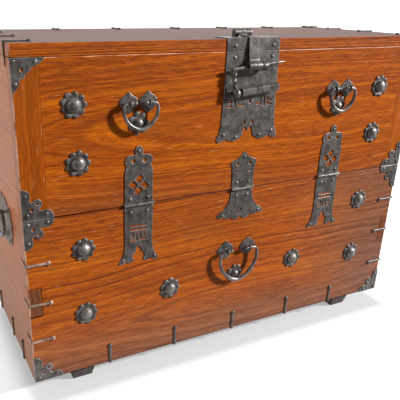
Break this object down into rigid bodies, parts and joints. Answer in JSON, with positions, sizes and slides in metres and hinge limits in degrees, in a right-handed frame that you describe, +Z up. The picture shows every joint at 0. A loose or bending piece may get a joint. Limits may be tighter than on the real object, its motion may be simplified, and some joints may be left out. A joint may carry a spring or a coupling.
{
  "type": "bandaji chest",
  "caption": "Low wide wooden chest on runners; the upper front is a drop-down door on pierced iron hinges, locked by a hasp and a long padlock, with bail handles, bosses and corner plates.",
  "frame": {"origin": "on the floor under the middle of the whole part, at the foot of the runners", "axes": "+X along the width to the chest's right as seen from the front, +Y from the front to the back, +Z up"},
  "size_m": [1.0402, 0.4168, 0.7562],
  "materials": {
    "oiled_zelkova": "old oiled zelkova, satin, orange brown with darker grain",
    "dark_runner_wood": "dark worn wood",
    "forged_iron": "forged iron, dark, worn and oiled"
  },
  "bodies": {
    "carcass": {"top_panel": "oiled_zelkova", "left_side_panel": "oiled_zelkova", "right_side_panel": "oiled_zelkova", "back_panel": "oiled_zelkova", "bottom_panel": "oiled_zelkova", "lower_front_panel": "oiled_zelkova", "left_runner": "dark_runner_wood", "right_runner": "dark_runner_wood", "left_hinge_lower_leaf": "forged_iron", "left_hinge_pin": "forged_iron", "centre_hinge_lower_leaf": "forged_iron", "centre_hinge_pin": "forged_iron", "right_hinge_lower_leaf": "forged_iron", "right_hinge_pin": "forged_iron", "lock_top_plate": "forged_iron", "hasp_pin": "forged_iron", "front_handle_left_post": "forged_iron", "front_handle_right_post": "forged_iron", "front_handle_striker": "forged_iron", "left_handle_back_plate": "forged_iron", "right_handle_back_plate": "forged_iron", "front_upper_left_boss": "forged_iron", "front_upper_right_boss": "forged_iron", "front_lower_left_boss": "forged_iron", "front_lower_right_boss": "forged_iron", "front_inner_left_boss": "forged_iron", "front_inner_right_boss": "forged_iron", "front_upper_left_corner_plate": "forged_iron", "front_upper_right_corner_plate": "forged_iron", "front_lower_left_corner_plate": "forged_iron", "front_lower_right_corner_plate": "forged_iron"},
    "door": {"door_panel": "oiled_zelkova", "door_left_clamp": "oiled_zelkova", "door_right_clamp": "oiled_zelkova", "left_hinge_upper_leaf": "forged_iron", "centre_hinge_upper_leaf": "forged_iron", "right_hinge_upper_leaf": "forged_iron", "lock_plate": "forged_iron", "door_left_handle_left_post": "forged_iron", "door_left_handle_right_post": "forged_iron", "door_left_handle_striker": "forged_iron", "door_right_handle_left_post": "forged_iron", "door_right_handle_right_post": "forged_iron", "door_right_handle_striker": "forged_iron", "door_upper_left_boss": "forged_iron", "door_upper_right_boss": "forged_iron", "door_lower_left_boss": "forged_iron", "door_lower_right_boss": "forged_iron", "door_upper_left_corner_plate": "forged_iron", "door_upper_right_corner_plate": "forged_iron", "door_lower_left_corner_plate": "forged_iron", "door_lower_right_corner_plate": "forged_iron"},
    "hasp": {"hasp": "forged_iron"},
    "padlock_bolt": {"padlock_bolt": "forged_iron"},
    "padlock_body": {"padlock_body": "forged_iron"},
    "door_left_bail": {"door_left_handle_bail": "forged_iron"},
    "door_right_bail": {"door_right_handle_bail": "forged_iron"},
    "front_bail": {"front_handle_bail": "forged_iron"},
    "left_bail": {"left_handle_bail": "forged_iron"},
    "right_bail": {"right_handle_bail": "forged_iron"}
  },
  "joints": [
    {"name": "door_drop", "type": "hinge", "parent": "carcass", "child": "door", "pos_m": [0, -0.18885, 0.414], "axis": [1, 0, 0], "range_deg": [0, 135]},
    {"name": "hasp_lift", "type": "hinge", "parent": "door", "child": "hasp", "pos_m": [-0.001, -0.14675, 0.749], "axis": [-1, 0, 0], "range_deg": [0, 160]},
    {"name": "padlock_draw", "type": "slide", "parent": "door", "child": "padlock_bolt", "axis": [-0.9957, 0, -0.0924], "range_m": [0, 0.1]},
    {"name": "padlock_unlock", "type": "slide", "parent": "padlock_bolt", "child": "padlock_body", "axis": [0.9957, 0, 0.0924], "range_m": [0, 0.07]},
    {"name": "door_left_bail_lift", "type": "hinge", "parent": "door", "child": "door_left_bail", "pos_m": [-0.258, -0.19825, 0.6253], "axis": [-1, 0, 0], "range_deg": [0, 95]},
    {"name": "door_right_bail_lift", "type": "hinge", "parent": "door", "child": "door_right_bail", "pos_m": [0.258, -0.19825, 0.6253], "axis": [-1, 0, 0], "range_deg": [0, 95]},
    {"name": "front_bail_lift", "type": "hinge", "parent": "carcass", "child": "front_bail", "pos_m": [0, -0.19825, 0.264], "axis": [-1, 0, 0], "range_deg": [0, 95]},
    {"name": "left_bail_lift", "type": "hinge", "parent": "carcass", "child": "left_bail", "pos_m": [-0.5135, 0.01175, 0.383], "axis": [0, 1, 0], "range_deg": [0, 95]},
    {"name": "right_bail_lift", "type": "hinge", "parent": "carcass", "child": "right_bail", "pos_m": [0.5135, 0.01175, 0.383], "axis": [0, -1, 0], "range_deg": [0, 95]}
  ]
}
